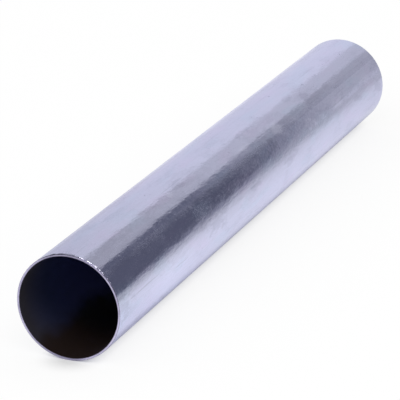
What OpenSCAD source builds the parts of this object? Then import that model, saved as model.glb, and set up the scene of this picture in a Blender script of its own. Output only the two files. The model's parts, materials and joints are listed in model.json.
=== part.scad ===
// A short cut length of thin-walled round steel conduit, lying on its side.
// The tube is rolled from strip and welded along one line. The weld is planed flush outside and
// leaves a low bead inside. Both ends are sawn square, then the edges are taken off.
// Origin: under the middle of the tube, on the surface it lies on. +X runs along it, +Z is up.

/* [Tube] */
// Outside diameter
outside_d = 88.9; // [73:0.1:114.3]
// Thickness of the wall
wall_t = 1.83; // [1.65:0.01:2.5]
// Length between the two cut ends
length = 660; // [150:5:3050]

/* [Cut ends] */
// Width of the cone that reaming leaves on the inner edge
ream_w = 0.4; // [0.1:0.05:0.8]
// Width of the break that filing leaves on the outer edge
edge_break_w = 0.35; // [0.1:0.05:0.6]

/* [Weld] */
// Width of the bead along the inside of the weld
bead_w = 1.6; // [0.8:0.1:3]
// Height of the bead above the wall of the bore
bead_h = 0.2; // [0.05:0.05:0.3]
// Place of the weld round the tube, in degrees from the top towards the front
weld_angle = 46; // [-180:1:180]

/* [Hidden] */
$fn = 180;

outer_r = outside_d / 2;
bore_r = outer_r - wall_t;
mid_wall_r = (outer_r + bore_r) / 2;
// Radius of the arc that is bead_w wide where it is bead_h high
bead_r = (pow(bead_w / 2, 2) + pow(bead_h, 2)) / (2 * bead_h);
// How far a cutter runs on past the face it cuts
overrun = 1;
steel = [0.74, 0.745, 0.83];

// The wall turned about Z from 0 to length, with the outer edge of each end broken
module wall() {
    rotate_extrude()
        polygon([
            [bore_r, 0],
            [outer_r - edge_break_w, 0],
            [outer_r, edge_break_w],
            [outer_r, length - edge_break_w],
            [outer_r - edge_break_w, length],
            [bore_r, length]
        ]);
}

// The bead along the inside of the weld: an arc that stands bead_h proud, rooted in the wall
module weld_bead() {
    intersection() {
        cylinder(h = length, r = mid_wall_r);
        translate([bore_r - bead_h + bead_r, 0, 0])
            cylinder(h = length, r = bead_r);
    }
}

// The 45 degree cone that a reamer cuts into an end at z = 0. It trims the bead's end as well.
module ream_cone() {
    depth = ream_w + bead_h + overrun;
    translate([0, 0, -overrun])
        cylinder(h = depth + overrun, r1 = bore_r + ream_w + overrun, r2 = bore_r + ream_w - depth);
}

module pipe() {
    color(steel)
        translate([-length / 2, 0, outer_r])
            rotate([90, 0, 90])
                difference() {
                    union() {
                        wall();
                        rotate(90 + weld_angle)
                            weld_bead();
                    }
                    ream_cone();
                    translate([0, 0, length])
                        mirror([0, 0, 1])
                            ream_cone();
                }
}

pipe();
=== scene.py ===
"""Looks of a cut length of steel conduit, lying on a pale floor in soft studio light."""
import json
import math
from typing import NamedTuple

import bpy
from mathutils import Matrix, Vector, noise


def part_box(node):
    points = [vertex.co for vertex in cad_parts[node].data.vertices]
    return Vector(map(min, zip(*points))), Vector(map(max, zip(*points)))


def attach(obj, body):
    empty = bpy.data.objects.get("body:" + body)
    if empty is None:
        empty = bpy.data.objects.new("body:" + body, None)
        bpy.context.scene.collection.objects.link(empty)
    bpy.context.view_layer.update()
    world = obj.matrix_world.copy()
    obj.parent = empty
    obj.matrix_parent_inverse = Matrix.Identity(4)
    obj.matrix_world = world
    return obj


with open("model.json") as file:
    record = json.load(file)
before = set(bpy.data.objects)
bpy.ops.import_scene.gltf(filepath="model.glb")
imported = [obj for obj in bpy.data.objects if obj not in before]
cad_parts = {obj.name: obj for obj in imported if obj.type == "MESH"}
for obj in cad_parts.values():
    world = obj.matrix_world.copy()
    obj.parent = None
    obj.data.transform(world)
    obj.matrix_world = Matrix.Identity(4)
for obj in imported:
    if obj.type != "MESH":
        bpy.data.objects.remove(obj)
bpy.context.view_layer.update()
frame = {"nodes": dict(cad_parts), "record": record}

# ---------------------------------------------------------------- sizes, in metres, from the frame

MOUNTS = {mount["name"]: mount for mount in frame["record"]["mounts"]}
LOW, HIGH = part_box("pipe")
HALF_LENGTH = (HIGH.x - LOW.x) / 2
OUTER_R = MOUNTS["outer_wall"]["dims"]["r_mm"] / 1000
BORE_R = MOUNTS["bore"]["dims"]["r_mm"] / 1000
AXIS_Z = MOUNTS["bore"]["pos_m"][2]
REAM_W = HALF_LENGTH - MOUNTS["bore"]["dims"]["length_mm"] / 2000
EDGE_BREAK_W = HALF_LENGTH - MOUNTS["outer_wall"]["dims"]["length_mm"] / 2000


def off_axis(point):
    """The part of a point's place that leads away from the pipe's axis."""
    return Vector((0.0, point[1], point[2] - AXIS_Z))


# The inside bead's crest is the part of the pipe nearest to its axis. It lies along the weld.
CREST = min((off_axis(vertex.co) for vertex in frame["nodes"]["pipe"].data.vertices), key=lambda v: v.length)
WELD = CREST.normalized()
WELD_SIDE = Vector((0.0, -WELD.z, WELD.y))

# Where the saw left the wall at the near end. The clock counts degrees up from the front (-Y) over the top.
# The pipe was turned half round for the cut at its far end.
SAW_EXIT_CLOCK = 66.0


def on_clock(clock):
    """The way out from the axis at that place on the clock."""
    angle = math.radians(clock)
    return Vector((0.0, -math.cos(angle), math.sin(angle)))


SAW_EXIT = on_clock(SAW_EXIT_CLOCK)
SAW_SIDE = on_clock(SAW_EXIT_CLOCK + 90)

# ---------------------------------------------------------------- the camera

VIEW_AZIMUTH = -68.0
VIEW_ELEVATION = 19.6
VIEW_DISTANCE = 2.143
LENS_MM = 218.7
SENSOR_MM = 36.0
CLIP_START = 0.05
CLIP_END = 60.0
AIM = Vector((-0.0543, 0.0, 0.0431))


def direction(azimuth, elevation):
    """The way from the aim back to a camera there. Azimuth 0 looks along +Y."""
    a = math.radians(azimuth)
    e = math.radians(elevation)
    return Vector((math.sin(a) * math.cos(e), -math.cos(a) * math.cos(e), math.sin(e)))


def add_camera():
    data = bpy.data.cameras.new("camera")
    data.lens = LENS_MM
    data.sensor_width = SENSOR_MM
    data.clip_start = CLIP_START
    data.clip_end = CLIP_END
    camera = bpy.data.objects.new("camera", data)
    back = direction(VIEW_AZIMUTH, VIEW_ELEVATION)
    camera.location = AIM + back * VIEW_DISTANCE
    camera.rotation_euler = back.to_track_quat("Z", "Y").to_euler()
    bpy.context.scene.collection.objects.link(camera)
    bpy.context.scene.camera = camera


# ---------------------------------------------------------------- node graphs


class Layer(NamedTuple):
    """A noise: the lengths of its cells along the pipe and across it in metres, and how it is made."""

    along: float
    across: float
    shift: float = 0.0
    detail: float = 2.0
    roughness: float = 0.5


class Graph:
    """A short way to write a node tree as expressions."""

    def __init__(self, tree):
        self.tree = tree
        tree.nodes.clear()

    def node(self, kind, inputs=(), **settings):
        made = self.tree.nodes.new(kind)
        for name, value in settings.items():
            setattr(made, name, value)
        for socket, value in dict(inputs).items():
            self.put(made.inputs[socket], value)
        return made

    def put(self, socket, value):
        if isinstance(value, bpy.types.NodeSocket):
            self.tree.links.new(value, socket)
        elif value is not None:
            socket.default_value = value

    def math(self, operation, a, b=None):
        made = self.node("ShaderNodeMath", operation=operation)
        for socket, value in zip(made.inputs, (a, b)):
            self.put(socket, value)
        return made.outputs[0]

    def add(self, a, b):
        return self.math("ADD", a, b)

    def sub(self, a, b):
        return self.math("SUBTRACT", a, b)

    def mul(self, a, b):
        return self.math("MULTIPLY", a, b)

    def length(self, a, b):
        """The length of a way that leads a one way and b square to it."""
        return self.math("SQRT", self.add(self.mul(a, a), self.mul(b, b)))

    def towards(self, y, z, way):
        """How far y and z lead that way."""
        return self.add(self.mul(y, way.y), self.mul(z, way.z))

    def above(self, value, edge, soft):
        """0 under edge, 1 over edge + soft, and smooth between."""
        made = self.node(
            "ShaderNodeMapRange",
            {"Value": value, "From Min": edge, "From Max": edge + soft},
            interpolation_type="SMOOTHSTEP",
        )
        return made.outputs["Result"]

    def below(self, value, edge, soft):
        """1 under edge, 0 over edge + soft, and smooth between."""
        return self.sub(1.0, self.above(value, edge, soft))

    def spread(self, value, low, high, to_low, to_high):
        """value's range low..high carried over to to_low..to_high, and held there."""
        made = self.node(
            "ShaderNodeMapRange",
            {"Value": value, "From Min": low, "From Max": high, "To Min": to_low, "To Max": to_high},
        )
        return made.outputs["Result"]

    def through(self, value, stops):
        """The number for value on straight lines from stop to stop, and held past the first and the last.
        A stop is a value and its number."""
        total = stops[0][1]
        for (low, start), (high, end) in zip(stops, stops[1:]):
            total = self.add(total, self.spread(value, low, high, 0.0, end - start))
        return total

    def blend(self, share, a, b):
        """Colour a where share is 0 and colour b where it is 1."""
        made = self.node("ShaderNodeMix", data_type="RGBA")
        self.put(made.inputs["Factor"], share)
        self.put(made.inputs[6], a)
        self.put(made.inputs[7], b)
        return made.outputs[2]

    def between(self, share, a, b):
        """Number a where share is 0 and number b where it is 1."""
        made = self.node("ShaderNodeMix", data_type="FLOAT")
        self.put(made.inputs["Factor"], share)
        self.put(made.inputs[2], a)
        self.put(made.inputs[3], b)
        return made.outputs[0]

    def noise(self, vector, detail=2.0, roughness=0.5):
        made = self.node(
            "ShaderNodeTexNoise",
            {"Vector": vector, "Scale": 1.0, "Detail": detail, "Roughness": roughness},
        )
        return made.outputs["Fac"]

    def centred(self, value):
        """A noise's value less the middle that it swings about."""
        return self.sub(value, 0.5)

    def layer(self, position, layer):
        """That layer's noise at the position."""
        cells = self.node(
            "ShaderNodeMapping",
            {
                "Vector": position,
                "Scale": (1 / layer.along, 1 / layer.across, 1 / layer.across),
                "Location": (layer.shift, layer.shift, layer.shift),
            },
        )
        return self.noise(cells.outputs["Vector"], layer.detail, layer.roughness)


def new_material(name):
    """An empty material, and the graph to fill it with."""
    material = bpy.data.materials.new(name)
    material.use_nodes = True
    return material, Graph(material.node_tree)


def rgb(r, g, b):
    return (r, g, b, 1.0)


def add_mesh(name, points, faces, material):
    mesh = bpy.data.meshes.new(name)
    mesh.from_pydata(points, [], faces)
    mesh.materials.append(material)
    made = bpy.data.objects.new(name, mesh)
    bpy.context.scene.collection.objects.link(made)
    return made


# ---------------------------------------------------------------- the steel's colours and measures
# An EDGE or a SIDE says where something starts and how soft that is, and a SPREAD or a DEPTH is a range.
# Noises and cosines count in their own units, and all else in metres. A SHARE, up to 1, is how strongly
# something shows.

STEEL = rgb(0.657, 0.669, 0.874)
STEEL_COOL = rgb(0.632, 0.674, 0.874)
STEEL_WARM = rgb(0.672, 0.657, 0.874)
STEEL_DULL = rgb(0.565, 0.580, 0.762)
STEEL_SPECK = rgb(0.300, 0.310, 0.430)
STEEL_LIGHT = rgb(0.785, 0.797, 1.000)
GRAZING_TINT = rgb(0.89, 0.89, 1.0)
SEAM = rgb(0.520, 0.530, 0.700)
CUT_STEEL = rgb(0.620, 0.585, 0.800)
CUT_STEEL_DARK = rgb(0.450, 0.425, 0.600)
# Painted shade: the dark that the cut, its outer edge and the burr's root are painted with
PAINTED_SHADE_DARK = rgb(0.200, 0.188, 0.280)
# Painted shade: the dark line on the zinc behind the cuts' edges
SHADE_LINE = rgb(0.230, 0.230, 0.310)
# Painted shade: the near black along part of the cut's outer edge
EDGE_SHADE_BLACK = rgb(0.030, 0.028, 0.040)
MOUTH_COAT = rgb(0.024, 0.022, 0.030)
COAT = rgb(0.018, 0.025, 0.080)
# Painted light: the lighter blue deep in the bore
DEEP_COAT_AND_PAINTED_LIGHT = rgb(0.058, 0.072, 0.270)
DUST = rgb(0.0115, 0.0046, 0.0016)
DEEP_DUST = rgb(0.003, 0.003, 0.003)
BEAD = rgb(0.110, 0.110, 0.140)

# Where the finishes meet: at a radius, a depth behind the end's face, a distance beside the weld or one
# from the axis towards it
BORE_EDGE = (BORE_R + 0.00002, 0.00004)
CUT_EDGE = (REAM_W - 0.00002, 0.00002)
BREAK_EDGE = (OUTER_R - EDGE_BREAK_W, 0.00003)
REAM_EDGE = (BORE_R + REAM_W - 0.00003, 0.00003)
SEAM_EDGE = (0.0024, 0.0004)
SEAM_SIDE = (BORE_R, 0.0002)
BEAD_EDGE = (BORE_R - 0.00016, 0.00006)
BEAD_SIDE = (0.0, 0.001)

# The zinc's warm and cool tints, drawn streaks, dull blotches and rubs, and how much the seam shows
TINTS = Layer(0.055, 0.018, shift=9.4)
WARM_EDGE = (0.54, 0.16)
COOL_EDGE = (0.34, 0.14)
STREAKS = Layer(0.090, 0.0020, detail=3.0, roughness=0.6)
STREAK_EDGE = (0.46, 0.26)
STREAK_SHARE = 0.20
BLOTCHES = Layer(0.045, 0.014, shift=3.1, detail=5.0, roughness=0.65)
BLOTCH_EDGE = (0.50, 0.16)
BLOTCH_SHARE = 0.36
RUBS = Layer(0.110, 0.0022, shift=12.6, detail=1.5)
RUB_EDGE = (0.69, 0.06)
RUB_SHARE = 0.25
SEAM_SHARE = 0.30
# Its pits are the peaks of the specks. Where these crowd they are lifted, and there are more pits.
SPECKS = Layer(0.0042, 0.0024, shift=2.2, detail=3.0, roughness=0.55)
CROWDS = Layer(0.060, 0.012, shift=4.4)
CROWD_LIFT = 0.30
PIT_EDGE = (0.850, 0.070)
PIT_SHARE = 0.45

# Marks from handling: where along the pipe and on the clock, half the length and half the width, and how
# strong. Smudges and light spots turn the zinc's colour by that share.
SMUDGES = (
    (-0.322, 6.0, 0.014, 0.0120, 0.24),
    (-0.287, 68.0, 0.034, 0.0050, 0.10),
    (-0.285, -31.0, 0.060, 0.0060, 0.32),
    (-0.150, 18.0, 0.018, 0.0055, 0.18),
    (-0.138, 72.0, 0.012, 0.0050, 0.24),
    (-0.124, 9.0, 0.018, 0.0080, 0.22),
    (-0.090, 25.0, 0.015, 0.0036, 0.26),
    (-0.027, 12.0, 0.014, 0.0034, 0.18),
    (0.012, 72.5, 0.020, 0.0024, 0.17),
    (0.022, 58.0, 0.026, 0.0100, 0.12),
    (0.036, 37.5, 0.010, 0.0055, 0.22),
    (0.055, 7.5, 0.011, 0.0040, 0.15),
    (0.052, 14.5, 0.022, 0.0045, 0.16),
    (0.085, 51.3, 0.036, 0.0028, 0.18),
    (0.125, 70.5, 0.009, 0.0044, 0.18),
    (0.152, 58.5, 0.009, 0.0052, 0.22),
    (0.172, 50.5, 0.036, 0.0026, 0.18),
    (0.255, 12.0, 0.012, 0.0034, 0.20),
    (0.312, 6.0, 0.014, 0.0070, 0.24),
)
LIGHT_SPOTS = (
    (-0.163, 67.5, 0.006, 0.0034, 0.45),
    (-0.012, 56.0, 0.012, 0.0030, 0.35),
    (0.062, 48.0, 0.0115, 0.0066, 0.90),
    (0.123, 31.5, 0.014, 0.0045, 0.30),
    (0.203, 26.0, 0.016, 0.0050, 0.30),
    (0.283, 27.0, 0.014, 0.0040, 0.25),
)
# Dull spots add that much to its roughness.
DULL_SPOTS = (
    (-0.225, 36.0, 0.010, 0.0100, 0.05),
    (-0.142, 31.0, 0.018, 0.0080, 0.09),
)
# A mark's edge, and how much it frays, count in half lengths and half widths of the mark. A light spot has
# only that share of the fraying.
MARK_EDGE = (0.45, 0.80)
FRAY = Layer(0.0110, 0.0042, shift=17.9, detail=4.0, roughness=0.6)
FRAY_REACH = 3.4
LIGHT_SPOT_FRAY = 0.4

# A dark line of painted shade on the zinc behind an edge: how far it reaches, which a noise makes ragged,
# and where it fades, in shares of that. Then where on the clock it is, and how far round as a cosine.
SHADE_LINE_FRAY = Layer(0.0040, 0.0040, shift=5.2, detail=3.0)
SHADE_LINE_SPREAD = (0.40, 0.62)
SHADE_LINE_DEPTH = (0.0016, 0.0034)
SHADE_LINE_EDGE = (0.7, 0.5)
SHADE_LINE_CLOCK = 110.0
SHADE_LINE_SIDE = (0.84, 0.12)
SHADE_LINE_SHARE = 0.75

# The saw's marks on a cut lie across its feed: how far apart, and how long
SAW_MARK_GAP = 0.00040
SAW_MARK_LENGTH = 0.016
# The cut is darker in those marks and in worn patches, each by that share.
SAW_MARK_EDGE = (0.42, 0.24)
WORN_PATCHES = Layer(0.030, 0.012, shift=6.0)
WORN_PATCH_EDGE = (0.42, 0.20)
WORN_SHARE = 0.5
# Painted shade on the cut: darker round one place near the top of the near end, turned half round at the far
# end, and round another near the bottom of both ends. The ream has more of both, by the second share.
RIM_SHADE_CLOCK = 84.0
RIM_SHADE_SIDE = (0.62, 0.32)
LOW_RIM_SHADE_CLOCK = 252.0
LOW_RIM_SHADE_SIDE = (0.74, 0.20)
RIM_SHADE_SHARE = 0.50
REAM_SHADE_SHARE = 0.35
# Painted shade along its outer edge: dark, less so where a noise breaks it up, and near black where the cut
# has its first painted shade.
EDGE_SHADE_BREAKS = Layer(0.0012, 0.0012, shift=3.3)
EDGE_SHADE_SPREAD = (0.35, 0.60)
EDGE_SHADE_SHARES = (1.0, 0.45)
EDGE_SHADE_BLACK_SHARE = 0.85

# How far in the coat of the bore turns from near black to dark blue, and then to a lighter blue. That lighter
# blue is painted light, which lifts the deep bore.
COAT_DEPTH = (0.008, 0.048)
PAINTED_LIGHT_DEPTH = (0.048, 0.120)
# How far below the axis the dust along the bottom starts, how far its clouds lift that, how it sets in, and
# how far in it turns dark
DUST_BELOW_AXIS = 0.033
DUST_CLOUDS = Layer(0.050, 0.030, shift=7.7, detail=3.0)
DUST_LIFT = 0.020
DUST_EDGE = (0.004, 0.012)
DEEP_DUST_DEPTH = (0.052, 0.080)
# How much metal the bead shows through the coat
BEAD_METAL_SHARE = 0.6

# How rough each finish is, from 0 to 1. The zinc's goes with its blotches. What its specks, seam and pits
# give is added to that, and what the ream gives is added to the cut's.
BLOTCH_SPREAD = (0.40, 0.62)
ZINC_ROUGH = (0.13, 0.21)
SPECK_ROUGH = 0.26
SEAM_ROUGH = 0.05
PIT_ROUGH = 0.08
CUT_ROUGH = 0.34
BREAK_ROUGH = 0.24
REAM_ROUGH = 0.22
BORE_ROUGH = 0.58

# Relief: how high it rises, or how deep the pits and scratches go
WAVES = Layer(0.070, 0.018, shift=1.3, detail=1.0)
WAVE_HEIGHT = 0.00008
RIPPLES = Layer(0.030, 0.0075, shift=8.2, detail=2.5, roughness=0.55)
RIPPLE_HEIGHT = 0.00025
DRAWN_LINES = Layer(0.060, 0.0011, shift=5.9)
DRAWN_LINE_HEIGHT = 0.000005
GRAIN = Layer(0.0032, 0.0016, shift=0.7)
GRAIN_HEIGHT = 0.000052
PIT_HEIGHT = 0.000012
SCRATCHES = Layer(0.035, 0.00045, shift=15.4, detail=1.0)
SCRATCH_EDGE = (0.66, 0.05)
SCRATCH_HEIGHT = 0.000003
SAW_MARK_HEIGHT = 0.00005

# ---------------------------------------------------------------- the steel


class Place:
    """Where a shading point lies on the pipe, as sockets."""

    def __init__(self, g):
        self.position = g.node("ShaderNodeTexCoord").outputs["Object"]
        x, y, z = g.node("ShaderNodeSeparateXYZ", {"Vector": self.position}).outputs
        self.rise = g.sub(z, AXIS_Z)
        radius = g.length(y, self.rise)
        self.depth = g.sub(HALF_LENGTH, g.math("ABSOLUTE", x))
        self.in_bore = g.below(radius, *BORE_EDGE)
        self.cut = g.mul(g.below(self.depth, *CUT_EDGE), g.sub(1.0, self.in_bore))
        self.edge_break = g.mul(self.cut, g.above(radius, *BREAK_EDGE))
        self.ream = g.sub(self.cut, g.mul(self.cut, g.above(radius, *REAM_EDGE)))
        self.feed = g.towards(y, self.rise, SAW_EXIT)
        self.across = g.towards(y, self.rise, SAW_SIDE)
        self.out_y = g.math("DIVIDE", y, radius)
        self.out_z = g.math("DIVIDE", self.rise, radius)
        # 1 on the near half and -1 on the far one, where the pipe was turned half round for the cut
        self.turned = g.sub(0.0, g.math("SIGN", x))
        to_weld = g.towards(y, self.rise, WELD)
        beside_weld = g.math("ABSOLUTE", g.towards(y, self.rise, WELD_SIDE))
        self.seam = g.mul(g.below(beside_weld, *SEAM_EDGE), g.above(to_weld, *SEAM_SIDE))
        self.bead = g.mul(g.below(radius, *BEAD_EDGE), g.above(to_weld, *BEAD_SIDE))

    def round_about(self, g, clock, side, turned=1.0):
        """1 round that place on the clock, 0 away from it. Turned says by which end's clock."""
        cosine = g.towards(self.out_y, self.out_z, on_clock(clock))
        return g.above(g.mul(cosine, turned), *side)


class Wear:
    """The wear that more than one property of the steel shows, as sockets."""

    def __init__(self, g, place):
        self.blotches = g.layer(place.position, BLOTCHES)
        self.specks = g.layer(place.position, SPECKS)
        crowds = g.layer(place.position, CROWDS)
        self.pits = g.above(g.add(self.specks, g.mul(crowds, CROWD_LIFT)), *PIT_EDGE)
        self.fray = g.mul(g.centred(g.layer(place.position, FRAY)), FRAY_REACH)
        gaps = g.mul(place.feed, 1 / SAW_MARK_GAP)
        lengths = g.mul(place.across, 1 / SAW_MARK_LENGTH)
        self.saw_marks = g.noise(g.node("ShaderNodeCombineXYZ", {0: gaps, 1: lengths}).outputs[0])


def marked(g, position, fray, marks):
    """How strongly those marks show there, all together. Fray shifts their edges."""
    total = 0.0
    for along, clock, half_length, half_width, strength in marks:
        local = g.node(
            "ShaderNodeMapping",
            {
                "Vector": position,
                "Location": on_clock(clock) * OUTER_R + Vector((along, 0.0, AXIS_Z)),
                "Rotation": (math.radians(90 - clock), 0.0, 0.0),
                "Scale": (half_length, half_width, OUTER_R),
            },
            vector_type="TEXTURE",
        )
        reach = g.node("ShaderNodeVectorMath", {0: local.outputs[0]}, operation="LENGTH").outputs["Value"]
        total = g.add(total, g.mul(g.below(g.add(reach, fray), *MARK_EDGE), strength))
    return total


def zinc_color(g, place, wear):
    """Zinc with faint warm and cool tints, drawn streaks, dull blotches, rubs, the seam line and pits."""
    tints = g.layer(place.position, TINTS)
    color = g.blend(g.above(tints, *WARM_EDGE), STEEL, STEEL_WARM)
    color = g.blend(g.below(tints, *COOL_EDGE), color, STEEL_COOL)
    streaked = g.mul(g.above(g.layer(place.position, STREAKS), *STREAK_EDGE), STREAK_SHARE)
    blotched = g.mul(g.above(wear.blotches, *BLOTCH_EDGE), BLOTCH_SHARE)
    color = g.blend(g.add(streaked, blotched), color, STEEL_DULL)
    rubbed = g.mul(g.above(g.layer(place.position, RUBS), *RUB_EDGE), RUB_SHARE)
    color = g.blend(rubbed, color, STEEL_SPECK)
    color = g.blend(g.mul(place.seam, SEAM_SHARE), color, SEAM)
    return g.blend(g.mul(wear.pits, PIT_SHARE), color, STEEL_SPECK)


def outside_color(g, place, wear):
    """The zinc with its marks from handling, and a line of painted shade behind the cuts."""
    smudged = marked(g, place.position, wear.fray, SMUDGES)
    color = g.blend(smudged, zinc_color(g, place, wear), STEEL_SPECK)
    spotted = marked(g, place.position, g.mul(wear.fray, LIGHT_SPOT_FRAY), LIGHT_SPOTS)
    color = g.blend(spotted, color, STEEL_LIGHT)
    # Painted shade: a dark line on the zinc just behind the edge, high on the near end, turned half round at
    # the far end
    reach = g.spread(g.layer(place.position, SHADE_LINE_FRAY), *SHADE_LINE_SPREAD, *SHADE_LINE_DEPTH)
    painted_line = g.below(g.math("DIVIDE", place.depth, reach), *SHADE_LINE_EDGE)
    painted_line = g.mul(painted_line, place.round_about(g, SHADE_LINE_CLOCK, SHADE_LINE_SIDE, place.turned))
    return g.blend(g.mul(painted_line, SHADE_LINE_SHARE), color, SHADE_LINE)


def cut_color(g, place, wear):
    """Bare sawn steel, worn in patches, with painted shade in two places round it and along its outer edge.
    """
    in_marks = g.mul(g.above(wear.saw_marks, *SAW_MARK_EDGE), WORN_SHARE)
    in_patches = g.mul(g.above(g.layer(place.position, WORN_PATCHES), *WORN_PATCH_EDGE), WORN_SHARE)
    color = g.blend(g.add(in_marks, in_patches), CUT_STEEL, CUT_STEEL_DARK)
    # Painted shade: the cut darker near the top of the near end, turned at the far end, and near the bottom
    rim_shade = place.round_about(g, RIM_SHADE_CLOCK, RIM_SHADE_SIDE, place.turned)
    low_rim_shade = place.round_about(g, LOW_RIM_SHADE_CLOCK, LOW_RIM_SHADE_SIDE)
    rim_shade_share = g.add(RIM_SHADE_SHARE, g.mul(place.ream, REAM_SHADE_SHARE))
    color = g.blend(g.mul(g.math("MAXIMUM", rim_shade, low_rim_shade), rim_shade_share), color, PAINTED_SHADE_DARK)
    # Painted shade along the outer edge, near black where the cut has its first painted shade
    edge_share = g.spread(g.layer(place.position, EDGE_SHADE_BREAKS), *EDGE_SHADE_SPREAD, *EDGE_SHADE_SHARES)
    color = g.blend(g.mul(place.edge_break, edge_share), color, PAINTED_SHADE_DARK)
    return g.blend(g.mul(g.mul(place.edge_break, rim_shade), EDGE_SHADE_BLACK_SHARE), color, EDGE_SHADE_BLACK)


def bore_color(g, place):
    """A dark coat, blue and lighter with painted light further in, brown dust at the bottom, and the weld's
    bead.
    """
    color = g.blend(g.spread(place.depth, *COAT_DEPTH, 0.0, 1.0), MOUTH_COAT, COAT)
    # Painted light: the coat turns a lighter blue deep in the bore
    color = g.blend(g.spread(place.depth, *PAINTED_LIGHT_DEPTH, 0.0, 1.0), color, DEEP_COAT_AND_PAINTED_LIGHT)
    dust = g.blend(g.spread(place.depth, *DEEP_DUST_DEPTH, 0.0, 1.0), DUST, DEEP_DUST)
    lift = g.mul(g.layer(place.position, DUST_CLOUDS), DUST_LIFT)
    settled = g.sub(lift, g.add(place.rise, DUST_BELOW_AXIS))
    color = g.blend(g.above(settled, *DUST_EDGE), color, dust)
    return g.blend(place.bead, color, BEAD)


def steel_roughness(g, place, wear):
    """Satin outside, duller on the cuts and matt in the bore."""
    specked = g.mul(g.centred(wear.specks), SPECK_ROUGH)
    zinc = g.add(g.spread(wear.blotches, *BLOTCH_SPREAD, *ZINC_ROUGH), specked)
    zinc = g.add(zinc, g.add(g.mul(place.seam, SEAM_ROUGH), g.mul(wear.pits, PIT_ROUGH)))
    zinc = g.add(zinc, marked(g, place.position, wear.fray, DULL_SPOTS))
    sawn = g.add(g.between(place.edge_break, CUT_ROUGH, BREAK_ROUGH), g.mul(place.ream, REAM_ROUGH))
    return g.between(place.in_bore, g.between(place.cut, zinc, sawn), BORE_ROUGH)


def steel_relief(g, place, wear):
    """Rolling waves, hammered ripples, drawn lines, grain, pits, scratches and saw marks."""

    def raised(layer, height):
        return g.mul(g.layer(place.position, layer), height)

    relief = g.add(raised(WAVES, WAVE_HEIGHT), raised(RIPPLES, RIPPLE_HEIGHT))
    relief = g.add(relief, g.add(raised(DRAWN_LINES, DRAWN_LINE_HEIGHT), raised(GRAIN, GRAIN_HEIGHT)))
    scratched = g.above(g.layer(place.position, SCRATCHES), *SCRATCH_EDGE)
    relief = g.sub(relief, g.add(g.mul(wear.pits, PIT_HEIGHT), g.mul(scratched, SCRATCH_HEIGHT)))
    return g.add(relief, g.mul(g.mul(place.cut, wear.saw_marks), SAW_MARK_HEIGHT))


def add_metal(g, color, roughness, metallic, relief):
    """The shader that the steel and its burr share. Relief is in metres."""
    bump = g.node("ShaderNodeBump", {"Height": relief, "Strength": 1.0, "Distance": 1.0})
    shader = g.node(
        "ShaderNodeBsdfPrincipled",
        {
            "Base Color": color,
            "Roughness": roughness,
            "Metallic": metallic,
            "Specular Tint": GRAZING_TINT,
            "Normal": bump.outputs["Normal"],
        },
    )
    g.node("ShaderNodeOutputMaterial", {"Surface": shader.outputs["BSDF"]})


def steel_material():
    """Satin zinc-coated outside, bare sawn ends and a dark coated bore, told apart by place."""
    material, g = new_material("steel")
    place = Place(g)
    wear = Wear(g, place)
    wall = g.blend(place.cut, outside_color(g, place, wear), cut_color(g, place, wear))
    color = g.blend(place.in_bore, wall, bore_color(g, place))
    # The coat in the bore isn't metal.
    metallic = g.sub(1.0, g.mul(place.in_bore, g.sub(1.0, g.mul(place.bead, BEAD_METAL_SHARE))))
    add_metal(g, color, steel_roughness(g, place, wear), metallic, steel_relief(g, place, wear))
    return material


# ---------------------------------------------------------------- the burr left by sawing

BURR = rgb(0.780, 0.785, 0.900)
TORN_STEEL = Layer(0.0006, 0.0006)
TORN_EDGE = (0.50, 0.14)
TORN_SPREAD = (0.35, 0.65)
TORN_ROUGH = (0.16, 0.32)
TORN_HEIGHT = 0.00004
# Painted shade: the burr's root is painted dark up to just above the outside.
BURR_ROOT_SHADE_EDGE = (OUTER_R + 0.00010, 0.00016)

BURR_STEPS = 1080
# How far round it reaches to either side of where the saw left the wall, in degrees
BURR_REACH = 62.0
# How full it is where the saw left the wall, before two noises make it ragged. They have that many cells to
# a degree. The fine one counts less, and comes from another plane.
BURR_FULL = 0.68
BURR_COARSE_CELLS = 0.22
BURR_FINE_CELLS = 0.80
BURR_FINE_WEIGHT = 0.35
BURR_FINE_PLANE = 5.0
# The burr's section where it is fullest, from the end's face back: behind the face, and above the outside
BURR_SECTION = (
    (0.00006, -0.00036),
    (0.00016, -0.00002),
    (0.00040, 0.00018),
    (0.00062, 0.00042),
    (0.00086, 0.00066),
    (0.00114, 0.00076),
    (0.00146, 0.00064),
    (0.00178, 0.00028),
    (0.00200, -0.00014),
)
BURR_CREST = max(above for _, above in BURR_SECTION)
# The point inside the wall that the section shrinks to where the burr ends
BURR_ROOT = (0.00100, -0.00030)
# Under this fullness the burr would lie inside the wall, and it is left out.
LEAST_BURR = 0.28
# How far it stays within the pipe's own height and width
BURR_MARGIN = 0.00002
# A way out that leads less than this towards a side of the pipe's box leaves the burr ample room there.
LEAST_LEAD = 0.1


def burr_material():
    """Bare steel torn out by the saw, bright where it is smeared smooth, with painted shade at its root."""
    material, g = new_material("burr")
    position = g.node("ShaderNodeTexCoord").outputs["Object"]
    torn = g.layer(position, TORN_STEEL)
    color = g.blend(g.above(torn, *TORN_EDGE), BURR, CUT_STEEL_DARK)
    _, y, z = g.node("ShaderNodeSeparateXYZ", {"Vector": position}).outputs
    radius = g.length(y, g.sub(z, AXIS_Z))
    # Painted shade at the burr's root
    color = g.blend(g.above(radius, *BURR_ROOT_SHADE_EDGE), PAINTED_SHADE_DARK, color)
    add_metal(g, color, g.spread(torn, *TORN_SPREAD, *TORN_ROUGH), 1.0, g.mul(torn, TORN_HEIGHT))
    return material


def burr_room(clock):
    """How far above the outside the burr may rise there."""
    way = on_clock(clock)
    rise = HIGH.z - AXIS_Z if way.z > 0 else AXIS_Z - LOW.z
    out = min(rise / max(abs(way.z), LEAST_LEAD), HIGH.y / max(abs(way.y), LEAST_LEAD))
    return out - OUTER_R - BURR_MARGIN


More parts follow.
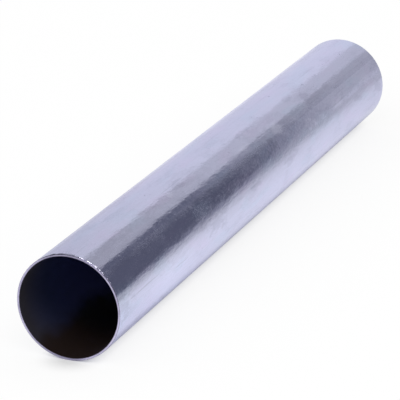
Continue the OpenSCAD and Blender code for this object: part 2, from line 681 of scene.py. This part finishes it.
def burr_fullness(clock, exit_clock, seed):
    """How full the burr is there: most where the saw left the wall, and ragged all along."""
    aside = abs((clock - exit_clock + 180) % 360 - 180) / BURR_REACH
    if aside >= 1:
        return 0.0
    coarse = noise.noise(Vector((clock * BURR_COARSE_CELLS, seed, 0.0)))
    fine = noise.noise(Vector((clock * BURR_FINE_CELLS, seed, BURR_FINE_PLANE)))
    full = (1 - aside**2) * (BURR_FULL + coarse + BURR_FINE_WEIGHT * fine)
    fits = (burr_room(clock) - BURR_ROOT[1]) / (BURR_CREST - BURR_ROOT[1])
    return max(min(full, 1.0, fits), 0.0)


def burr_row(clock, full, end):
    """The burr's section there, at that fullness."""
    row = []
    for behind, above in BURR_SECTION:
        behind = BURR_ROOT[0] + full * (behind - BURR_ROOT[0])
        above = BURR_ROOT[1] + full * (above - BURR_ROOT[1])
        row.append(on_clock(clock) * (OUTER_R + above) + Vector((end * (HALF_LENGTH - behind), 0.0, AXIS_Z)))
    return row


def add_burr(name, end, seed, material):
    """A ragged lip along the outer edge of one end: -1 is the near end, 1 the far one."""
    exit_clock = SAW_EXIT_CLOCK if end < 0 else SAW_EXIT_CLOCK + 180
    clocks = [360 * step / BURR_STEPS for step in range(BURR_STEPS)]
    fullness = [burr_fullness(clock, exit_clock, seed) for clock in clocks]
    points = [point for clock, full in zip(clocks, fullness) for point in burr_row(clock, full, end)]
    count = len(BURR_SECTION)
    faces = []
    for step in range(BURR_STEPS):
        after = (step + 1) % BURR_STEPS
        if min(fullness[step], fullness[after]) < LEAST_BURR:
            continue
        for i in range(count - 1):
            face = (step * count + i, step * count + i + 1, after * count + i + 1, after * count + i)
            faces.append(face if end < 0 else face[::-1])
    burr = add_mesh(name, points, faces, material)
    burr.data.polygons.foreach_set("use_smooth", [True] * len(faces))
    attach(burr, "root")


# ---------------------------------------------------------------- the floor and the world
# The floor is matt, with a share of plain white over it that only camera, glossy and transmission rays see.
# Stops are places along the pipe (X) and a number at each. Distances are in metres.

WHITE = rgb(1.0, 1.0, 1.0)
WORLD_LIGHT = 0.80
FLOOR_HALF = 15.0
FLOOR_COLOR = rgb(0.94, 0.94, 0.94)

# The white share that the camera sees beside the pipe and further off. Away from the line where the pipe
# touches the floor it grows from none to the first, and on to the second: where that starts, and over how far
WHITE_SEEN = 0.86
WHITE_FAR = 0.985
SHADOW_SEEN = (0.0, 0.030)
SHADOW_FAR = (0.030, 0.180)
# The white share that reflections see, in front of the pipe as stops, and behind it. It grows from none
# likewise, and where that starts is given as stops too.
WHITE_FRONT = ((-0.22, 0.50), (-0.13, 0.67), (-0.06, 0.76), (0.28, 0.74), (0.38, 0.60))
WHITE_BEHIND = 0.80
SHADOW_REFLECTED = ((-0.20, 0.023), (0.00, 0.019))
SHADOW_REFLECTED_SOFT = 0.028
# Under the pipe, what holds in front gives way to what holds behind: where that starts, and over how far
BEHIND_EDGE = (0.0, 0.05)

# Painted light on the floor, which only reflections see: in front of the pipe they see the white a little
# warm, and over the pool's range of distances from a place it fades to grey, a painted pool of light. The
# part of a distance that lies along the pipe counts less.
WARM_FRONT = rgb(1.01, 1.01, 0.965)
POOL_PLACE = -0.10
POOL_RATE_ALONG = 0.25
POOL = (0.08, 0.36)
POOL_GREY = 0.45
# They see it a little uneven there as well, with a painted patch of light brighter than white near the near
# end.
# These stops hold on the line where the pipe touches the floor, and for each metre away from it they lie
# further along the pipe by the slant.
FRONT_SLANT = 1.6
FRONT_ALONG = (
    (-0.335, 1.0),
    (-0.265, 1.12),
    (-0.19, 1.01),
    (-0.12, 0.98),
    (-0.03, 0.98),
    (0.10, 1.02),
    (0.24, 1.02),
    (0.31, 0.95),
)
# Behind the pipe they see a painted shadow: grey at the near end, slanted likewise, and again further off,
# where the stops are distances behind that line.
BEHIND_SLANT = 1.76
BEHIND_NEAR_END = ((-0.30, 0.78), (0.0, 1.0))
BEHIND_FAR_OFF = ((0.25, 1.0), (0.50, 0.80))


def seen_ray(g):
    """1 for camera, glossy and transmission rays, which see the plain white studio."""
    path = g.node("ShaderNodeLightPath").outputs
    share = g.add(path["Is Camera Ray"], path["Is Glossy Ray"])
    return g.math("MINIMUM", g.add(share, path["Is Transmission Ray"]), 1.0)


def add_world():
    world = bpy.data.worlds.new("studio")
    world.use_nodes = True
    world.cycles.sampling_method = "NONE"
    bpy.context.scene.world = world
    g = Graph(world.node_tree)
    strength = g.between(seen_ray(g), WORLD_LIGHT, 1.0)
    sky = g.node("ShaderNodeBackground", {"Color": WHITE, "Strength": strength})
    g.node("ShaderNodeOutputWorld", {"Surface": sky.outputs[0]})


def reflected_level(g, x, y, behind):
    """How bright reflections see the white there, with its painted pool of light and painted shadow."""
    distance = g.length(g.mul(g.sub(x, POOL_PLACE), POOL_RATE_ALONG), y)
    pool = g.spread(distance, *POOL, 1.0, POOL_GREY)
    front = g.mul(pool, g.through(g.add(x, g.mul(y, FRONT_SLANT)), FRONT_ALONG))
    near_end = g.through(g.sub(x, g.mul(y, BEHIND_SLANT)), BEHIND_NEAR_END)
    return g.between(behind, front, g.mul(near_end, g.through(y, BEHIND_FAR_OFF)))


def white_share(g, x, y, behind, glossy):
    """How much of the floor is white there, clear of the pipe's shadow, to the camera or to reflections."""
    past_end = g.math("MAXIMUM", g.sub(g.math("ABSOLUTE", x), HALF_LENGTH), 0.0)
    aside = g.length(y, past_end)
    seen = g.mul(g.above(aside, *SHADOW_SEEN), g.between(g.above(aside, *SHADOW_FAR), WHITE_SEEN, WHITE_FAR))
    clear = g.above(g.sub(aside, g.through(x, SHADOW_REFLECTED)), 0.0, SHADOW_REFLECTED_SOFT)
    reflected = g.mul(clear, g.between(behind, g.through(x, WHITE_FRONT), WHITE_BEHIND))
    return g.mul(seen_ray(g), g.between(glossy, seen, reflected))


def floor_material():
    """A matt floor that shows the pipe's shadow, and white over it."""
    material, g = new_material("floor")
    place = g.node("ShaderNodeTexCoord").outputs["Object"]
    x, y, _ = g.node("ShaderNodeSeparateXYZ", {"Vector": place}).outputs
    behind = g.above(y, *BEHIND_EDGE)
    glossy = g.node("ShaderNodeLightPath").outputs["Is Glossy Ray"]
    level = g.between(glossy, 1.0, reflected_level(g, x, y, behind))
    color = g.blend(g.sub(glossy, g.mul(glossy, behind)), WHITE, WARM_FRONT)
    white = g.node("ShaderNodeEmission", {"Color": color, "Strength": level})
    matt = g.node("ShaderNodeBsdfDiffuse", {"Color": FLOOR_COLOR})
    share = white_share(g, x, y, behind, glossy)
    both = g.node("ShaderNodeMixShader", {0: share, 1: matt.outputs[0], 2: white.outputs[0]})
    g.node("ShaderNodeOutputMaterial", {"Surface": both.outputs[0]})
    return material


def add_floor():
    far = FLOOR_HALF
    corners = [(-far, -far, 0), (far, -far, 0), (far, far, 0), (-far, far, 0)]
    add_mesh("floor", corners, [(0, 1, 2, 3)], floor_material())


# ---------------------------------------------------------------- the cards


class Foot(NamedTuple):
    """How a card starts at the floor: its strength there, and stops for how far up that reaches."""

    strength: float
    heights: tuple


class Card(NamedTuple):
    """A plain card that only reflections see, bent round the pipe's axis. The clock and the span say from
    where to where it reaches round the axis and along it, and the strengths are stops."""

    name: str
    radius: float
    clock: tuple
    span: tuple
    strengths: tuple
    foot: Foot = None


# Dark cards in front of the pipe and behind it, and grey ones far along it, give the metal its bands.
CARDS = (
    Card(
        name="low_flag",
        radius=0.50,
        clock=(-6.0, 45.0),
        span=(-0.60, 1.10),
        strengths=((0.63, 0.125), (0.71, 0.108), (0.84, 0.110), (0.94, 0.262), (1.01, 0.385), (1.06, 0.41)),
        foot=Foot(
            strength=0.50,
            heights=((0.45, 0.08), (0.53, 0.10), (0.63, 0.123), (0.72, 0.136), (0.81, 0.178), (1.00, 0.25)),
        ),
    ),
    Card(
        name="high_flag",
        radius=0.50,
        clock=(45.0, 63.7),
        span=(-0.60, 0.92),
        strengths=((0.60, 0.142), (0.67, 0.165), (0.73, 0.222), (0.80, 0.32), (0.87, 0.385), (1.00, 0.44)),
    ),
    Card(
        name="front_grey",
        radius=1.20,
        clock=(-2.0, 47.0),
        span=(1.1, 8.0),
        strengths=((1.5, 0.45), (2.5, 0.54)),
        foot=Foot(strength=0.69, heights=((0.0, 0.40),)),
    ),
    Card(
        name="high_grey",
        radius=1.20,
        clock=(47.0, 66.0),
        span=(1.1, 8.0),
        strengths=((2.15, 0.47), (2.30, 0.43), (2.50, 0.44), (2.85, 0.52)),
    ),
    Card(
        name="top_grey",
        radius=1.20,
        clock=(66.0, 100.6),
        span=(1.1, 8.0),
        strengths=((1.79, 0.45), (1.85, 0.495), (1.92, 0.62), (2.06, 0.640), (2.20, 0.655)),
    ),
    Card(
        name="back_grey",
        radius=1.20,
        clock=(100.6, 182.0),
        span=(1.1, 8.0),
        strengths=(
            (1.56, 0.68),
            (1.69, 0.76),
            (1.84, 0.785),
            (1.97, 0.83),
            (2.10, 0.815),
            (2.40, 0.80),
            (2.66, 0.85),
        ),
    ),
    Card(
        name="back_flag",
        radius=2.60,
        clock=(110.0, 152.0),
        span=(-6.0, 2.6),
        strengths=((0.0, 0.16),),
    ),
)
CARD_STEPS = 24
# A dim card is a little blue, and over this range of strengths that turns plain.
DIM_CARD = rgb(0.95, 0.99, 1.24)
DIM_SPREAD = (0.12, 0.45)


def card_material(plan):
    material, g = new_material(plan.name)
    material.cycles.emission_sampling = "NONE"
    place = g.node("ShaderNodeTexCoord").outputs["Object"]
    x, _, z = g.node("ShaderNodeSeparateXYZ", {"Vector": place}).outputs
    strength = g.through(x, plan.strengths)
    if plan.foot:
        up = g.math("DIVIDE", z, g.through(x, plan.foot.heights))
        strength = g.between(g.above(up, 0.0, 1.0), plan.foot.strength, strength)
    color = g.blend(g.spread(strength, *DIM_SPREAD, 0.0, 1.0), DIM_CARD, WHITE)
    glow = g.node("ShaderNodeEmission", {"Color": color, "Strength": strength})
    g.node("ShaderNodeOutputMaterial", {"Surface": glow.outputs[0]})
    return material


def add_card(plan):
    start, end = plan.clock
    points = []
    for step in range(CARD_STEPS + 1):
        angle = math.radians(start + (end - start) * step / CARD_STEPS)
        y = -plan.radius * math.cos(angle)
        z = AXIS_Z + plan.radius * math.sin(angle)
        points += [(x, y, z) for x in plan.span]
    faces = [(2 * i, 2 * i + 1, 2 * i + 3, 2 * i + 2) for i in range(CARD_STEPS)]
    card = add_mesh(plan.name, points, faces, card_material(plan))
    card.visible_camera = False
    card.visible_diffuse = False
    card.visible_shadow = False


# ---------------------------------------------------------------- the lamp

LAMP_PLACE = Vector((-1.07, -0.50, 1.41))
LAMP_AIM = Vector((-0.33, 0.0, 0.08))
LAMP_SIZE = (1.0, 0.7)
LAMP_W = 9.0


def add_lamp():
    """A soft box above the near end."""
    data = bpy.data.lights.new("soft_box", "AREA")
    data.shape = "RECTANGLE"
    data.size, data.size_y = LAMP_SIZE
    data.energy = LAMP_W
    lamp = bpy.data.objects.new("soft_box", data)
    lamp.location = LAMP_PLACE
    lamp.rotation_euler = (LAMP_PLACE - LAMP_AIM).to_track_quat("Z", "Y").to_euler()
    lamp.visible_camera = False
    bpy.context.scene.collection.objects.link(lamp)


# ---------------------------------------------------------------- the scene

add_world()
add_floor()
for plan in CARDS:
    add_card(plan)
add_lamp()
add_camera()
bpy.context.scene.view_settings.view_transform = "Standard"

pipe = frame["nodes"]["pipe"]
pipe.data.materials.clear()
pipe.data.materials.append(steel_material())
torn_steel = burr_material()
add_burr("near_burr", end=-1, seed=1.0, material=torn_steel)
add_burr("far_burr", end=1, seed=7.0, material=torn_steel)
